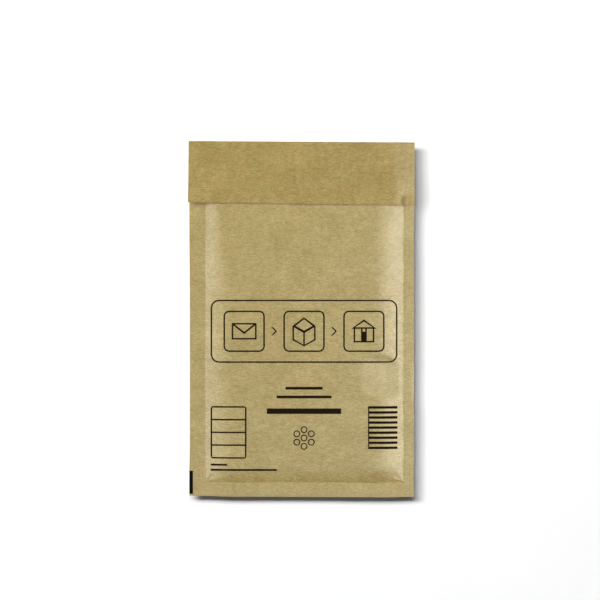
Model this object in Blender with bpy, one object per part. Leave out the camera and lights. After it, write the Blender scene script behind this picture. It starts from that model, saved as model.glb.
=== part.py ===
"""Padded mailing envelope, new and empty, lying flat on its back panel with the flap folded over.

Metres, +Z up. +Y points to the fold of the flap, +X to the right of the printed front.
The origin is at the middle of the underside. The paper is one solid: a back sheet that runs on
through the fold into the flap, and a front sheet that joins it in glued margins on three sides.
Between them lie two webs of bubble film, their flat sides facing each other across the pocket.
"""

import math

import bmesh
import bpy

MM = 0.001

# The folded envelope, seen from above
WIDTH = 140.0 * MM  # of the flap, which is as wide as the sheet
LENGTH = 220.6 * MM
FLAP_DEPTH = 38.6 * MM
FLAP_SKEW = 1.1 * MM  # how much deeper the flap is at the right than at the left
LEFT_DRAWN_IN = 0.6 * MM  # the padding draws the body's edges in from the flap's
RIGHT_DRAWN_IN = 0.3 * MM
FOLD_REACH = 0.9 * MM  # how far the fold stands past the mouth

# Glued margins
LEFT_MARGIN = 9.2 * MM
RIGHT_MARGIN = 6.7 * MM
BOTTOM_MARGIN = 9.9 * MM
MARGIN_MIDDLE = 2.3 * MM  # height of the margins' middle over the ground
MARGIN_THICKNESS = 0.5 * MM
PAPER = 0.2 * MM

# Padding
FRONT_HEIGHT = 5.1 * MM
SHOULDER = 18.0 * MM  # width of the padded panel's rounded edge at the sides
BOTTOM_SHOULDER = 13.0 * MM
SHOULDER_STEPS = (0.11, 0.27, 0.5, 0.76, 1.0)
FRONT_TAPER = 88.0 * MM  # length over which the front thins towards the mouth
FRONT_PINCH = 0.55  # share of its rise that is lost at the mouth
BACK_TAPER = 39.0 * MM
BACK_PINCH = 0.45

# Flap, as heights of its underside over the ground
FLAP_ROOT_HEIGHT = 4.3 * MM
FLAP_EDGE_HEIGHT = 5.85 * MM
FLAP_DROOP = 1.4 * MM  # how far its right end hangs down at the free edge
FLAP_DROOP_REACH = 13.0 * MM  # from the right end to where it starts to hang
FOLD_STEPS = 6
FLAP_STEPS = 2

# Bubble film
FILM_INSET = 2.2 * MM  # from the creases to the film's edges
FILM_CORNER = 6.0 * MM  # length of its cut corners, where the padding is too shallow for it
FILM_TO_MOUTH = 2.4 * MM
FILM_OFF_MIDDLE = 0.15 * MM  # half of the empty pocket
FILM_THICKNESS = 0.12 * MM
BUBBLE_PITCH = 13.4 * MM
BUBBLE_RADIUS = 5.5 * MM
CROWN_RADIUS = 3.6 * MM
BUBBLE_SIDES = 6
FILM_TO_PAPER = 0.3 * MM

# Self-seal strip under the flap
STRIP_TO_SIDE = 4.0 * MM
STRIP_WIDTH = 12.0 * MM
STRIP_THICKNESS = 0.15 * MM
STRIP_TO_EDGE = 2.4 * MM
LINER_TO_SIDE = 1.5 * MM
LINER_WIDTH = 15.0 * MM
LINER_THICKNESS = 0.1 * MM
LINER_TO_EDGE = 0.9 * MM
LAYER_GAP = 0.25 * MM

# Ink. Heights on the panel are counted from its bottom crease.
INK = 0.05 * MM
INK_LIFT = 0.06 * MM
INK_LINE = 0.95 * MM
FINE_LINE = 0.7 * MM
PRINT_INSET = 3.7 * MM  # from the side creases
FRAME_BOTTOM = 73.3 * MM
FRAME_HEIGHT = 39.1 * MM
FRAME_ROUND = 5.0 * MM
TILE = 25.6 * MM
TILE_ROUND = 3.4 * MM
TILES_SPREAD = 0.64  # from the first sign's middle to the last's, as a share of the frame
LOWER_PRINT_TOP = 46.5 * MM
TABLE_WIDTH = 22.3 * MM
TABLE_HEIGHT = 32.5 * MM
TABLE_ROUND = 1.6 * MM
TABLE_ROWS = 4
STRIPES_WIDTH = 18.3 * MM
STRIPES_HEIGHT = 26.6 * MM
STRIPES = 9
ROSETTE_HEIGHT = 26.8 * MM
ROSETTE_RING = 2.2 * MM
# Plain rules, each by its length and thickness. Those in the middle are placed by height,
# and those at the foot by their distance under the table.
TITLE_RULE = (23.0 * MM, 1.7 * MM)
TITLE_RULE_HEIGHT = 57.6 * MM
SECOND_RULE = (34.0 * MM, 1.7 * MM)
SECOND_RULE_HEIGHT = 52.2 * MM
WIDE_RULE = (46.0 * MM, 3.4 * MM)
WIDE_RULE_HEIGHT = 43.4 * MM
SHORT_FOOT_RULE = (10.4 * MM, 1.2 * MM)
SHORT_FOOT_RULE_DROP = 3.8 * MM
FOOT_RULE = (41.0 * MM, 1.2 * MM)
FOOT_RULE_DROP = 7.0 * MM
FEED_MARK_WIDTH = 2.1 * MM
FEED_MARK_LENGTH = 14.8 * MM
FEED_MARK_TO_BOTTOM = 1.3 * MM
FEED_MARK_TO_EDGE = 0.05 * MM

KRAFT = (0.445, 0.352, 0.144, 1.0)
FILM = (0.78, 0.82, 0.84, 1.0)
ADHESIVE = (0.86, 0.83, 0.74, 1.0)
LINER = (0.83, 0.82, 0.78, 1.0)
BROWN_INK = (0.032, 0.017, 0.010, 1.0)
BLACK_INK = (0.006, 0.006, 0.006, 1.0)

# Lines that the sizes above give
BODY_LEFT = -WIDTH / 2 + LEFT_DRAWN_IN
BODY_RIGHT = WIDTH / 2 - RIGHT_DRAWN_IN
BODY_BOTTOM = -LENGTH / 2
MOUTH = LENGTH / 2 - FOLD_REACH
FLAP_EDGE = LENGTH / 2 - FLAP_DEPTH
FLAP_DROOP_START = WIDTH / 2 - FLAP_DROOP_REACH
LEFT_CREASE = BODY_LEFT + LEFT_MARGIN
RIGHT_CREASE = BODY_RIGHT - RIGHT_MARGIN
BOTTOM_CREASE = BODY_BOTTOM + BOTTOM_MARGIN
PANEL_MIDDLE = (LEFT_CREASE + RIGHT_CREASE) / 2
PRINT_LEFT = LEFT_CREASE + PRINT_INSET
PRINT_RIGHT = RIGHT_CREASE - PRINT_INSET
TILE_PITCH = TILES_SPREAD * (PRINT_RIGHT - PRINT_LEFT) / 2
TABLE_TOP = BOTTOM_CREASE + LOWER_PRINT_TOP
TABLE_BOTTOM = TABLE_TOP - TABLE_HEIGHT


def clear_scene():
    for thing in list(bpy.data.objects):
        bpy.data.objects.remove(thing)


def material(name, colour, roughness):
    made = bpy.data.materials.new(name)
    made.use_nodes = True
    shader = made.node_tree.nodes["Principled BSDF"]
    shader.inputs["Base Color"].default_value = colour
    shader.inputs["Roughness"].default_value = roughness
    shader.inputs["Metallic"].default_value = 0.0
    return made


def add_object(name, mesh, look):
    """A named object from a bmesh, which is freed."""
    data = bpy.data.meshes.new(name)
    mesh.to_mesh(data)
    mesh.free()
    data.materials.append(look)
    thing = bpy.data.objects.new(name, data)
    bpy.context.scene.collection.objects.link(thing)
    return thing


def clamp(value):
    return min(max(value, 0.0), 1.0)


# Heights of the padded body


def shoulder(distance, width):
    """How full the padding is at this distance inside a crease."""
    return 1.0 - (1.0 - clamp(distance / width)) ** 2


def fullness(x, y):
    across = shoulder(x - LEFT_CREASE, SHOULDER) * shoulder(RIGHT_CREASE - x, SHOULDER)
    return across * shoulder(y - BOTTOM_CREASE, BOTTOM_SHOULDER)


def thinned(y, taper, pinch):
    """What is left of the padding at y, as it thins towards the mouth."""
    return 1.0 - pinch * clamp(1.0 - (MOUTH - y) / taper) ** 2


def front_height(x, y):
    flat = MARGIN_MIDDLE + MARGIN_THICKNESS / 2
    rise = FRONT_HEIGHT - flat
    return flat + rise * fullness(x, y) * thinned(y, FRONT_TAPER, FRONT_PINCH)


def back_height(x, y):
    flat = MARGIN_MIDDLE - MARGIN_THICKNESS / 2
    return flat - flat * fullness(x, y) * thinned(y, BACK_TAPER, BACK_PINCH)


# The paper


def shoulder_lines(crease, width, towards):
    return [crease + towards * width * step for step in SHOULDER_STEPS]


def between(start, end, count):
    """Evenly spaced values after start and before end."""
    return [start + (end - start) * step / (count + 1) for step in range(1, count + 1)]


def column_lines():
    left = shoulder_lines(LEFT_CREASE, SHOULDER, 1)
    right = shoulder_lines(RIGHT_CREASE, SHOULDER, -1)[::-1]
    return [BODY_LEFT, LEFT_CREASE, *left, *right, RIGHT_CREASE, BODY_RIGHT]


def row_lines():
    bottom = shoulder_lines(BOTTOM_CREASE, BOTTOM_SHOULDER, 1)
    front_taper, back_taper = MOUTH - FRONT_TAPER, MOUTH - BACK_TAPER
    taper = [front_taper, *between(front_taper, back_taper, 2), back_taper]
    mouth = [*between(back_taper, MOUTH, 3), MOUTH]
    return [BODY_BOTTOM, BOTTOM_CREASE, *bottom, *taper, *mouth]


def flap_x(x, share):
    """The flap is flat and so a little wider than the body, which its padding draws in."""
    middle = (BODY_LEFT + BODY_RIGHT) / 2
    full = (x - middle) * WIDTH / (BODY_RIGHT - BODY_LEFT)
    return x + (full - x) * share


def flap_edge_y(x):
    return FLAP_EDGE - FLAP_SKEW * x / WIDTH


def flap_underside(x, y):
    along = (MOUTH - y) / (MOUTH - flap_edge_y(x))
    even = FLAP_ROOT_HEIGHT + (FLAP_EDGE_HEIGHT - FLAP_ROOT_HEIGHT) * along
    hanging = clamp((x - FLAP_DROOP_START) / FLAP_DROOP_REACH) ** 2
    return even - FLAP_DROOP * hanging * (1 + along) / 2


def fold_point(x, step, depth):
    """A point of the fold: depth 0 on the outside of the sheet, PAPER on its inside."""
    angle = math.pi * step / FOLD_STEPS
    low = back_height(x, MOUTH)
    high = flap_underside(flap_x(x, 1), MOUTH) + PAPER
    y = MOUTH + (FOLD_REACH - depth) * math.sin(angle)
    z = (low + high) / 2 - ((high - low) / 2 - depth) * math.cos(angle)
    return flap_x(x, step / FOLD_STEPS), y, z


def flap_point(x, step, depth):
    wide = flap_x(x, 1)
    y = MOUTH + (flap_edge_y(wide) - MOUTH) * step / FLAP_STEPS
    return wide, y, flap_underside(wide, y) + PAPER - depth


class Paper:
    """The four faces of the paper on one grid of columns and rows.

    front_out and front_in are the two faces of the front sheet, back_in and back_out those of
    the back sheet, whose rows run on past the mouth through the fold and along the flap.
    Where the sheets are glued the inner faces are missing, and along the creases they meet.
    """

    def __init__(self):
        self.mesh = bmesh.new()
        self.columns = column_lines()
        self.rows = row_lines()
        self.mouth = len(self.rows) - 1
        self.last = self.mouth + FOLD_STEPS + FLAP_STEPS
        self.points = {}

    def in_pocket(self, column, row):
        return 1 < column < len(self.columns) - 2 and row > 1

    def place(self, face, column, row):
        x = self.columns[column]
        outside = face == "back_out"
        if row > self.mouth + FOLD_STEPS:
            step = row - self.mouth - FOLD_STEPS
            return flap_point(x, step, 0.0 if outside else PAPER)
        if row > self.mouth:
            return fold_point(x, row - self.mouth, 0.0 if outside else PAPER)
        y = self.rows[row]
        if face == "front_out":
            return x, y, front_height(x, y)
        if outside:
            return x, y, back_height(x, y)
        if not self.in_pocket(column, row):
            return x, y, MARGIN_MIDDLE
        if face == "front_in":
            return x, y, front_height(x, y) - PAPER
        return x, y, back_height(x, y) + PAPER

    def vertex(self, face, column, row):
        joined = face.endswith("_in") and row <= self.mouth
        if joined and not self.in_pocket(column, row):
            face = "glue"
        key = (face, column, row)
        if key not in self.points:
            self.points[key] = self.mesh.verts.new(self.place(face, column, row))
        return self.points[key]

    def patch(self, *corners):
        self.mesh.faces.new([self.vertex(*corner) for corner in corners])

    def cells(self, face, columns, rows):
        for column in columns:
            for row in rows:
                self.patch(
                    (face, column, row),
                    (face, column + 1, row),
                    (face, column + 1, row + 1),
                    (face, column, row + 1),
                )

    def side(self, column):
        """The cut edge of the sheets at the left or the right."""
        for row in range(self.mouth):
            corners = [
                ("front_out", column, row),
                ("front_out", column, row + 1),
                ("back_out", column, row + 1),
                ("back_out", column, row),
            ]
            if row + 1 == self.mouth:
                corners.insert(2, ("back_in", column, self.mouth))
            self.patch(*corners)
        for row in range(self.mouth, self.last):
            self.patch(
                ("back_in", column, row),
                ("back_in", column, row + 1),
                ("back_out", column, row + 1),
                ("back_out", column, row),
            )

    def edge(self, upper, lower, row):
        """A cut edge across the whole width."""
        for column in range(len(self.columns) - 1):
            self.patch(
                (upper, column, row),
                (upper, column + 1, row),
                (lower, column + 1, row),
                (lower, column, row),
            )

    def build(self):
        every = range(len(self.columns) - 1)
        pocket = range(1, len(self.columns) - 2)
        self.cells("front_out", every, range(self.mouth))
        self.cells("back_out", every, range(self.last))
        self.cells("front_in", pocket, range(1, self.mouth))
        self.cells("back_in", pocket, range(1, self.mouth))
        self.cells("back_in", every, range(self.mouth, self.last))
        self.side(0)
        self.side(len(self.columns) - 1)
        self.edge("front_out", "back_out", 0)
        self.edge("front_out", "front_in", self.mouth)
        self.edge("back_in", "back_out", self.last)
        bmesh.ops.recalc_face_normals(self.mesh, faces=self.mesh.faces)
        return self.mesh


def add_paper(look):
    paper = add_object("paper_envelope", Paper().build(), look)
    paper.data.shade_smooth()
    paper.data.set_sharp_from_angle(angle=math.radians(25))


# The bubble film


def slab(corners, low, high):
    """A closed slab on corners in order, with its two faces at the heights of low and high."""
    mesh = bmesh.new()
    rings = [[mesh.verts.new((x, y, height(x, y))) for x, y in corners] for height in (low, high)]
    mesh.faces.new(rings[0][::-1])
    mesh.faces.new(rings[1])
    for a in range(len(corners)):
        b = (a + 1) % len(corners)
        mesh.faces.new((rings[0][a], rings[0][b], rings[1][b], rings[1][a]))
    return mesh


def cut_box(left, bottom, right, top, cut):
    """A box with its corners cut off."""
    return [
        (left + cut, bottom),
        (right - cut, bottom),
        (right, bottom + cut),
        (right, top - cut),
        (right - cut, top),
        (left + cut, top),
        (left, top - cut),
        (left, bottom + cut),
    ]


def bubble_centres(left, right, bottom, top):
    """Rows of bubbles, each shifted by half a pitch from the last, clear of the cut corners."""
    row_pitch = BUBBLE_PITCH * math.sqrt(3) / 2
    rows = int((top - bottom - 2 * BUBBLE_RADIUS) / row_pitch) + 1
    first = (bottom + top - (rows - 1) * row_pitch) / 2
    most = int((right - left - 2 * BUBBLE_RADIUS) / BUBBLE_PITCH) + 1
    for row in range(rows):
        count = most - row % 2
        start = (left + right - (count - 1) * BUBBLE_PITCH) / 2
        for column in range(count):
            x, y = start + column * BUBBLE_PITCH, first + row * row_pitch
            from_corner = min(x - left, right - x) + min(y - bottom, top - y)
            if from_corner > FILM_CORNER + BUBBLE_RADIUS * math.sqrt(2):
                yield x, y


def add_film(name, side, inner_face, look):
    """A web of film on one side of the pocket: 1 for the front, -1 for the back.

    Its bubbles reach out to inner_face, the height of the paper's inner face.
    """
    left, right = LEFT_CREASE + FILM_INSET, RIGHT_CREASE - FILM_INSET
    bottom, top = BOTTOM_CREASE + FILM_INSET, MOUTH - FILM_TO_MOUTH
    near = MARGIN_MIDDLE + side * FILM_OFF_MIDDLE
    far = near + side * FILM_THICKNESS
    corners = cut_box(left, bottom, right, top, FILM_CORNER)
    sheet = slab(corners, lambda x, y: min(near, far), lambda x, y: max(near, far))
    film = add_object(name, sheet, look)

    domes = bmesh.new()
    for centre_x, centre_y in bubble_centres(left, right, bottom, top):
        rings = []
        for radius in (BUBBLE_RADIUS, CROWN_RADIUS):
            ring = []
            for corner in range(BUBBLE_SIDES):
                angle = 2 * math.pi * (corner + 0.5) / BUBBLE_SIDES
                x = centre_x + radius * math.cos(angle)
                y = centre_y + radius * math.sin(angle)
                crown = inner_face(x, y) - side * FILM_TO_PAPER
                z = (near + far) / 2 if radius == BUBBLE_RADIUS else crown
                ring.append(domes.verts.new((x, y, z)))
            rings.append(ring)
        domes.faces.new(rings[0][::-1])
        domes.faces.new(rings[1])
        for a in range(BUBBLE_SIDES):
            b = (a + 1) % BUBBLE_SIDES
            domes.faces.new((rings[0][a], rings[0][b], rings[1][b], rings[1][a]))
    bmesh.ops.recalc_face_normals(domes, faces=domes.faces)
    bubbles = add_object(name + "_bubbles", domes, look)
    bubbles.hide_render = True
    bubbles.display_type = "WIRE"

    union = film.modifiers.new("bubbles", "BOOLEAN")
    union.operation = "UNION"
    union.object = bubbles


# The self-seal strip


def add_flap_layer(name, to_side, width, to_edge, below, thickness, look):
    """A strip along the flap's free edge, this far below its underside and bent as it is."""
    left, right = -WIDTH / 2 + to_side, WIDTH / 2 - to_side
    bends = [flap_x(x, 1) for x in column_lines()]
    bends = [x for x in bends if FLAP_DROOP_START < x < right]
    mesh = bmesh.new()
    rings = []
    for x in (left, *bends, right):
        ring = []
        for across, drop in ((0, thickness), (width, thickness), (width, 0), (0, 0)):
            y = flap_edge_y(x) + to_edge + across
            ring.append(mesh.verts.new((x, y, flap_underside(x, y) - below - drop)))
        rings.append(ring)
    mesh.faces.new(rings[0])
    mesh.faces.new(rings[-1])
    for ring, following in zip(rings, rings[1:]):
        for a in range(len(ring)):
            b = (a + 1) % len(ring)
            mesh.faces.new((ring[a], ring[b], following[b], following[a]))
    bmesh.ops.recalc_face_normals(mesh, faces=mesh.faces)
    add_object(name, mesh, look)


def add_seal_layers(adhesive, liner):
    """The strip of adhesive on the flap, and the paper that covers it until it is peeled off."""
    strip = (STRIP_TO_SIDE, STRIP_WIDTH, STRIP_TO_EDGE, LAYER_GAP, STRIP_THICKNESS)
    add_flap_layer("adhesive_strip", *strip, adhesive)
    below = 2 * LAYER_GAP + STRIP_THICKNESS
    cover = (LINER_TO_SIDE, LINER_WIDTH, LINER_TO_EDGE, below, LINER_THICKNESS)
    add_flap_layer("release_liner", *cover, liner)


# The ink


def add_ink(name, outline, look, holes=()):
    """A thin field of ink that follows the front panel, from outlines seen from above."""
    mesh = bmesh.new()
    for loop in (outline, *holes):
        corners = [mesh.verts.new((x, y, 0.0)) for x, y in loop]
        for a, b in zip(corners, corners[1:] + corners[:1]):
            mesh.edges.new((a, b))
    bmesh.ops.triangle_fill(mesh, use_beauty=True, edges=mesh.edges, normal=(0, 0, 1))
    # Cut where the paper bends, so that the ink bends with it.
    low_x, high_x = min(x for x, y in outline), max(x for x, y in outline)
    low_y, high_y = min(y for x, y in outline), max(y for x, y in outline)
    cuts = [((x, 0, 0), (1, 0, 0)) for x in column_lines() if low_x < x < high_x]
    cuts += [((0, y, 0), (0, 1, 0)) for y in row_lines() if low_y < y < high_y]
    for point, normal in cuts:
        geometry = mesh.verts[:] + mesh.edges[:] + mesh.faces[:]
        bmesh.ops.bisect_plane(mesh, geom=geometry, plane_co=point, plane_no=normal, dist=1e-7)
    grown = bmesh.ops.extrude_face_region(mesh, geom=mesh.faces[:], use_keep_orig=True)
    for part in grown["geom"]:
        if isinstance(part, bmesh.types.BMVert):
            part.co.z += INK
    for vertex in mesh.verts:
        vertex.co.z += front_height(vertex.co.x, vertex.co.y) + INK_LIFT
    bmesh.ops.recalc_face_normals(mesh, faces=mesh.faces)
    add_object(name, mesh, look)


def box(left, bottom, right, top):
    return [(left, bottom), (right, bottom), (right, top), (left, top)]


def round_box(left, bottom, right, top, radius, steps=3):
    loop = []
    corners = (
        (right - radius, top - radius, 0),
        (left + radius, top - radius, 90),
        (left + radius, bottom + radius, 180),
        (right - radius, bottom + radius, 270),
    )
    for x, y, start in corners:
        for step in range(steps + 1):
            angle = math.radians(start + 90 * step / steps)
            loop.append((x + radius * math.cos(angle), y + radius * math.sin(angle)))
    return loop


def circle(x, y, radius, steps=10):
    angles = [2 * math.pi * step / steps for step in range(steps)]
    return [(x + radius * math.cos(a), y + radius * math.sin(a)) for a in angles]


def add_ring(name, look, left, bottom, right, top, radius, line):
    outer = round_box(left, bottom, right, top, radius)
    inner = round_box(left + line, bottom + line, right - line, top - line, radius - line)
    add_ink(name, outer, look, [inner])


def add_letter(look, x, y):
    """A closed letter seen from its back: a rectangle with the flap's point."""
    wide, high, dip, line = 0.30 * TILE, 0.20 * TILE, 0.05 * TILE, INK_LINE
    outline = box(x - wide, y - high, x + wide, y + high)
    flap = [
        (x - wide + 2 * line, y + high - line),
        (x, y - dip + line),
        (x + wide - 2 * line, y + high - line),
    ]
    body = [
        (x - wide + line, y - high + line),
        (x + wide - line, y - high + line),
        (x + wide - line, y + high - 1.6 * line),
        (x, y - dip - line / 2),
        (x - wide + line, y + high - 1.6 * line),
    ]
    add_ink("ink_letter", outline, look, [flap, body])


def add_parcel(look, x, y):
    """A parcel in three-quarter view: a lid and two sides."""
    half, slope, side, line = 0.28 * TILE, 0.15 * TILE, 0.27 * TILE, INK_LINE
    middle = y - 0.02 * TILE
    outline = [
        (x, middle - side - slope / 2),
        (x + half, middle - side + slope / 2),
        (x + half, middle + slope),
        (x, middle + 2.4 * slope),
        (x - half, middle + slope),
        (x - half, middle - side + slope / 2),
    ]
    lid = [
        (x, middle + line),
        (x + half - 2 * line, middle + slope),
        (x, middle + 2.4 * slope - 1.3 * line),
        (x - half + 2 * line, middle + slope),
    ]
    sides = []
    for way in (-1, 1):
        corners = [
            (x + way * line / 2, middle - side - slope / 2 + 1.2 * line),
            (x + way * (half - line), middle - side + slope / 2 + 0.6 * line),
            (x + way * (half - line), middle + slope - 0.9 * line),
            (x + way * line / 2, middle - line / 2),
        ]
        sides.append(corners)
    add_ink("ink_parcel", outline, look, [lid, *sides])


def add_house(look, x, y):
    """A house: a wide roof over a wall with a door between two windows."""
    half, eave, low, top, line = 0.25 * TILE, 0.06 * TILE, 0.27 * TILE, 0.29 * TILE, INK_LINE
    over = 0.055 * TILE
    outline = [
        (x - half, y - low),
        (x + half, y - low),
        (x + half, y + eave),
        (x + half + over, y + eave),
        (x, y + top),
        (x - half - over, y + eave),
        (x - half, y + eave),
    ]
    door, door_top = 0.07 * TILE, y - 0.01 * TILE
    wall_left = box(x - half + line, y - low + line, x - door, y + eave)
    wall_right = box(x + door, y - low + line, x + half - line, y + eave)
    over_door = box(x - door + line, door_top, x + door - line, y + eave)
    roof = [
        (x - half + line, y + eave + line),
        (x + half - line, y + eave + line),
        (x, y + top - 1.5 * line),
    ]
    add_ink("ink_house", outline, look, [wall_left, wall_right, over_door, roof])


def add_chevron(name, look, x, y):
    reach, high, line = 0.07 * TILE, 0.1 * TILE, 0.043 * TILE
    outline = [
        (x - reach, y - high),
        (x - reach + line, y - high),
        (x + reach, y),
        (x - reach + line, y + high),
        (x - reach, y + high),
        (x + reach - line, y),
    ]
    add_ink(name, outline, look)


def add_frame(look):
    """The framed band over the middle of the panel, with three signs and two chevrons."""
    bottom = BOTTOM_CREASE + FRAME_BOTTOM
    top = bottom + FRAME_HEIGHT
    add_ring("ink_frame", look, PRINT_LEFT, bottom, PRINT_RIGHT, top, FRAME_ROUND, INK_LINE)
    middle_y = (bottom + top) / 2
    signs = (("letter", add_letter, -1), ("parcel", add_parcel, 0), ("house", add_house, 1))
    for name, add_sign, place in signs:
        x = PANEL_MIDDLE + place * TILE_PITCH
        edges = (x - TILE / 2, middle_y - TILE / 2, x + TILE / 2, middle_y + TILE / 2)
        add_ring("ink_tile_" + name, look, *edges, TILE_ROUND, INK_LINE)
        add_sign(look, x, middle_y)
    for name, place in (("ink_chevron_left", -0.5), ("ink_chevron_right", 0.5)):
        add_chevron(name, look, PANEL_MIDDLE + place * TILE_PITCH, middle_y)


def add_table(look):
    """A small ruled table at the left of the lower print."""
    left, right = PRINT_LEFT, PRINT_LEFT + TABLE_WIDTH
    outline = round_box(left, TABLE_BOTTOM, right, TABLE_TOP, TABLE_ROUND)
    pitch = (TABLE_HEIGHT - INK_LINE) / TABLE_ROWS
    holes = []
    for row in range(TABLE_ROWS):
        low = TABLE_BOTTOM + INK_LINE + row * pitch
        holes.append(box(left + INK_LINE, low, right - INK_LINE, low + pitch - INK_LINE))
    add_ink("ink_table", outline, look, holes)


def add_rosette(look):
    """Six rings round a seventh, as bubbles lie in their film."""
    x, y = PANEL_MIDDLE, BOTTOM_CREASE + ROSETTE_HEIGHT
    spread = 2.35 * ROSETTE_RING
    places = [(0.0, 0.0)]
    for turn in range(6):
        angle = math.radians(60 * turn + 30)
        places.append((spread * math.cos(angle), spread * math.sin(angle)))
    for number, (dx, dy) in enumerate(places):
        outline = circle(x + dx, y + dy, ROSETTE_RING)
        hole = circle(x + dx, y + dy, ROSETTE_RING - FINE_LINE)
        add_ink(f"ink_bubble_{number}", outline, look, [hole])


def add_stripes(look):
    """An even comb of stripes that hangs from one upright line."""
    left, right = PRINT_RIGHT - STRIPES_WIDTH, PRINT_RIGHT
    top = TABLE_TOP
    bottom = top - STRIPES_HEIGHT
    pitch = STRIPES_HEIGHT / (STRIPES - 0.5)
    outline = [(left, bottom)]
    for stripe in range(STRIPES):
        low = bottom + stripe * pitch
        outline += [(right, low), (right, low + pitch / 2)]
        if stripe < STRIPES - 1:
            outline += [(left + FINE_LINE, low + pitch / 2), (left + FINE_LINE, low + pitch)]
    outline.append((left, top))
    add_ink("ink_stripes", outline, look)


def add_rule(name, rule, middle, look, left=None):
    """A plain rule with its middle at this y, centred on the panel unless its left end is given."""
    length, thick = rule
    start = PANEL_MIDDLE - length / 2 if left is None else left
    add_ink(name, box(start, middle - thick / 2, start + length, middle + thick / 2), look)


def add_rules(look):
    add_rule("ink_rule_title", TITLE_RULE, BOTTOM_CREASE + TITLE_RULE_HEIGHT, look)
    add_rule("ink_rule_second", SECOND_RULE, BOTTOM_CREASE + SECOND_RULE_HEIGHT, look)
    add_rule("ink_rule_wide", WIDE_RULE, BOTTOM_CREASE + WIDE_RULE_HEIGHT, look)
    short_foot = TABLE_BOTTOM - SHORT_FOOT_RULE_DROP
    add_rule("ink_rule_short_foot", SHORT_FOOT_RULE, short_foot, look, PRINT_LEFT)
    add_rule("ink_rule_foot", FOOT_RULE, TABLE_BOTTOM - FOOT_RULE_DROP, look, PRINT_LEFT)


def add_feed_mark(look):
    """The black mark at the left edge that the bag machine reads."""
    left = BODY_LEFT + FEED_MARK_TO_EDGE
    bottom = BODY_BOTTOM + FEED_MARK_TO_BOTTOM
    outline = box(left, bottom, left + FEED_MARK_WIDTH, bottom + FEED_MARK_LENGTH)
    add_ink("feed_mark", outline, look)


def main():
    clear_scene()
    kraft = material("kraft_paper", KRAFT, 0.5)
    film = material("bubble_film", FILM, 0.2)
    adhesive = material("adhesive", ADHESIVE, 0.35)
    liner = material("release_paper", LINER, 0.3)
    brown = material("brown_ink", BROWN_INK, 0.5)
    black = material("black_ink", BLACK_INK, 0.5)

    add_paper(kraft)
    add_film("front_bubble_film", 1, lambda x, y: front_height(x, y) - PAPER, film)
    add_film("back_bubble_film", -1, lambda x, y: back_height(x, y) + PAPER, film)
    add_seal_layers(adhesive, liner)
    add_frame(brown)
    add_table(brown)
    add_rosette(brown)
    add_stripes(brown)
    add_rules(brown)
    add_feed_mark(black)


main()
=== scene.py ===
"""The looks of the padded envelope: its paper as a fine, slightly crumpled sheet, its print laid on
that sheet, its film, adhesive and liner, and the floor, lamps and camera of the photograph.

Metres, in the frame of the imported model: +X right, +Y to the fold of the flap, +Z up.
"""

import math

import bmesh
import bpy
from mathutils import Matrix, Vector, noise
from mathutils.bvhtree import BVHTree


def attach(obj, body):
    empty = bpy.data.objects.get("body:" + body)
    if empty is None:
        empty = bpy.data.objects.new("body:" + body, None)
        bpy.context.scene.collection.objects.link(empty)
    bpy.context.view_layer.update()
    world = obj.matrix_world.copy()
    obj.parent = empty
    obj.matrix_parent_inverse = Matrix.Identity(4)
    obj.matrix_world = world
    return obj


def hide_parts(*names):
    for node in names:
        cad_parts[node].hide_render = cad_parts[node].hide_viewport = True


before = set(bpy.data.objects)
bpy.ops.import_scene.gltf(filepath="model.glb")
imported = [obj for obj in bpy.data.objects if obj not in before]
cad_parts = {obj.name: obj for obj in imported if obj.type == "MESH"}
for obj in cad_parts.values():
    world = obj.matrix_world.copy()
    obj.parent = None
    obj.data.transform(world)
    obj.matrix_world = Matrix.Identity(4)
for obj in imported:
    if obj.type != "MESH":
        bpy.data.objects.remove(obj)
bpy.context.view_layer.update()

MM = 0.001

# The folded envelope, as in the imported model
WIDTH = 140.0 * MM
LENGTH = 220.6 * MM
FLAP_DEPTH = 38.6 * MM
FLAP_SKEW = 1.1 * MM
FOLD_REACH = 0.9 * MM
BODY_LEFT = -69.4 * MM
BODY_RIGHT = 69.7 * MM
BODY_BOTTOM = -LENGTH / 2
LEFT_MARGIN = 9.2 * MM
RIGHT_MARGIN = 6.7 * MM
BOTTOM_MARGIN = 9.9 * MM
MOUTH = LENGTH / 2 - FOLD_REACH
FLAP_EDGE = LENGTH / 2 - FLAP_DEPTH
LEFT_CREASE = BODY_LEFT + LEFT_MARGIN
RIGHT_CREASE = BODY_RIGHT - RIGHT_MARGIN
BOTTOM_CREASE = BODY_BOTTOM + BOTTOM_MARGIN
MARGIN_MIDDLE = 2.3 * MM
MARGIN_THICKNESS = 0.5 * MM
PAPER = 0.2 * MM
FRONT_HEIGHT = 5.1 * MM
SHOULDER = 18.0 * MM
BOTTOM_SHOULDER = 11.0 * MM
FRONT_TAPER = 88.0 * MM
FRONT_PINCH = 0.55
BACK_TAPER = 39.0 * MM
BACK_PINCH = 0.45
FLAP_ROOT_HEIGHT = 4.3 * MM
FLAP_EDGE_HEIGHT = 5.65 * MM
FLAP_DROOP = 2.2 * MM
FLAP_DROOP_REACH = 14.0 * MM
FLAP_OVER_PANEL = 0.42 * MM  # the least that lies between them, for the strip and its liner

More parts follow.
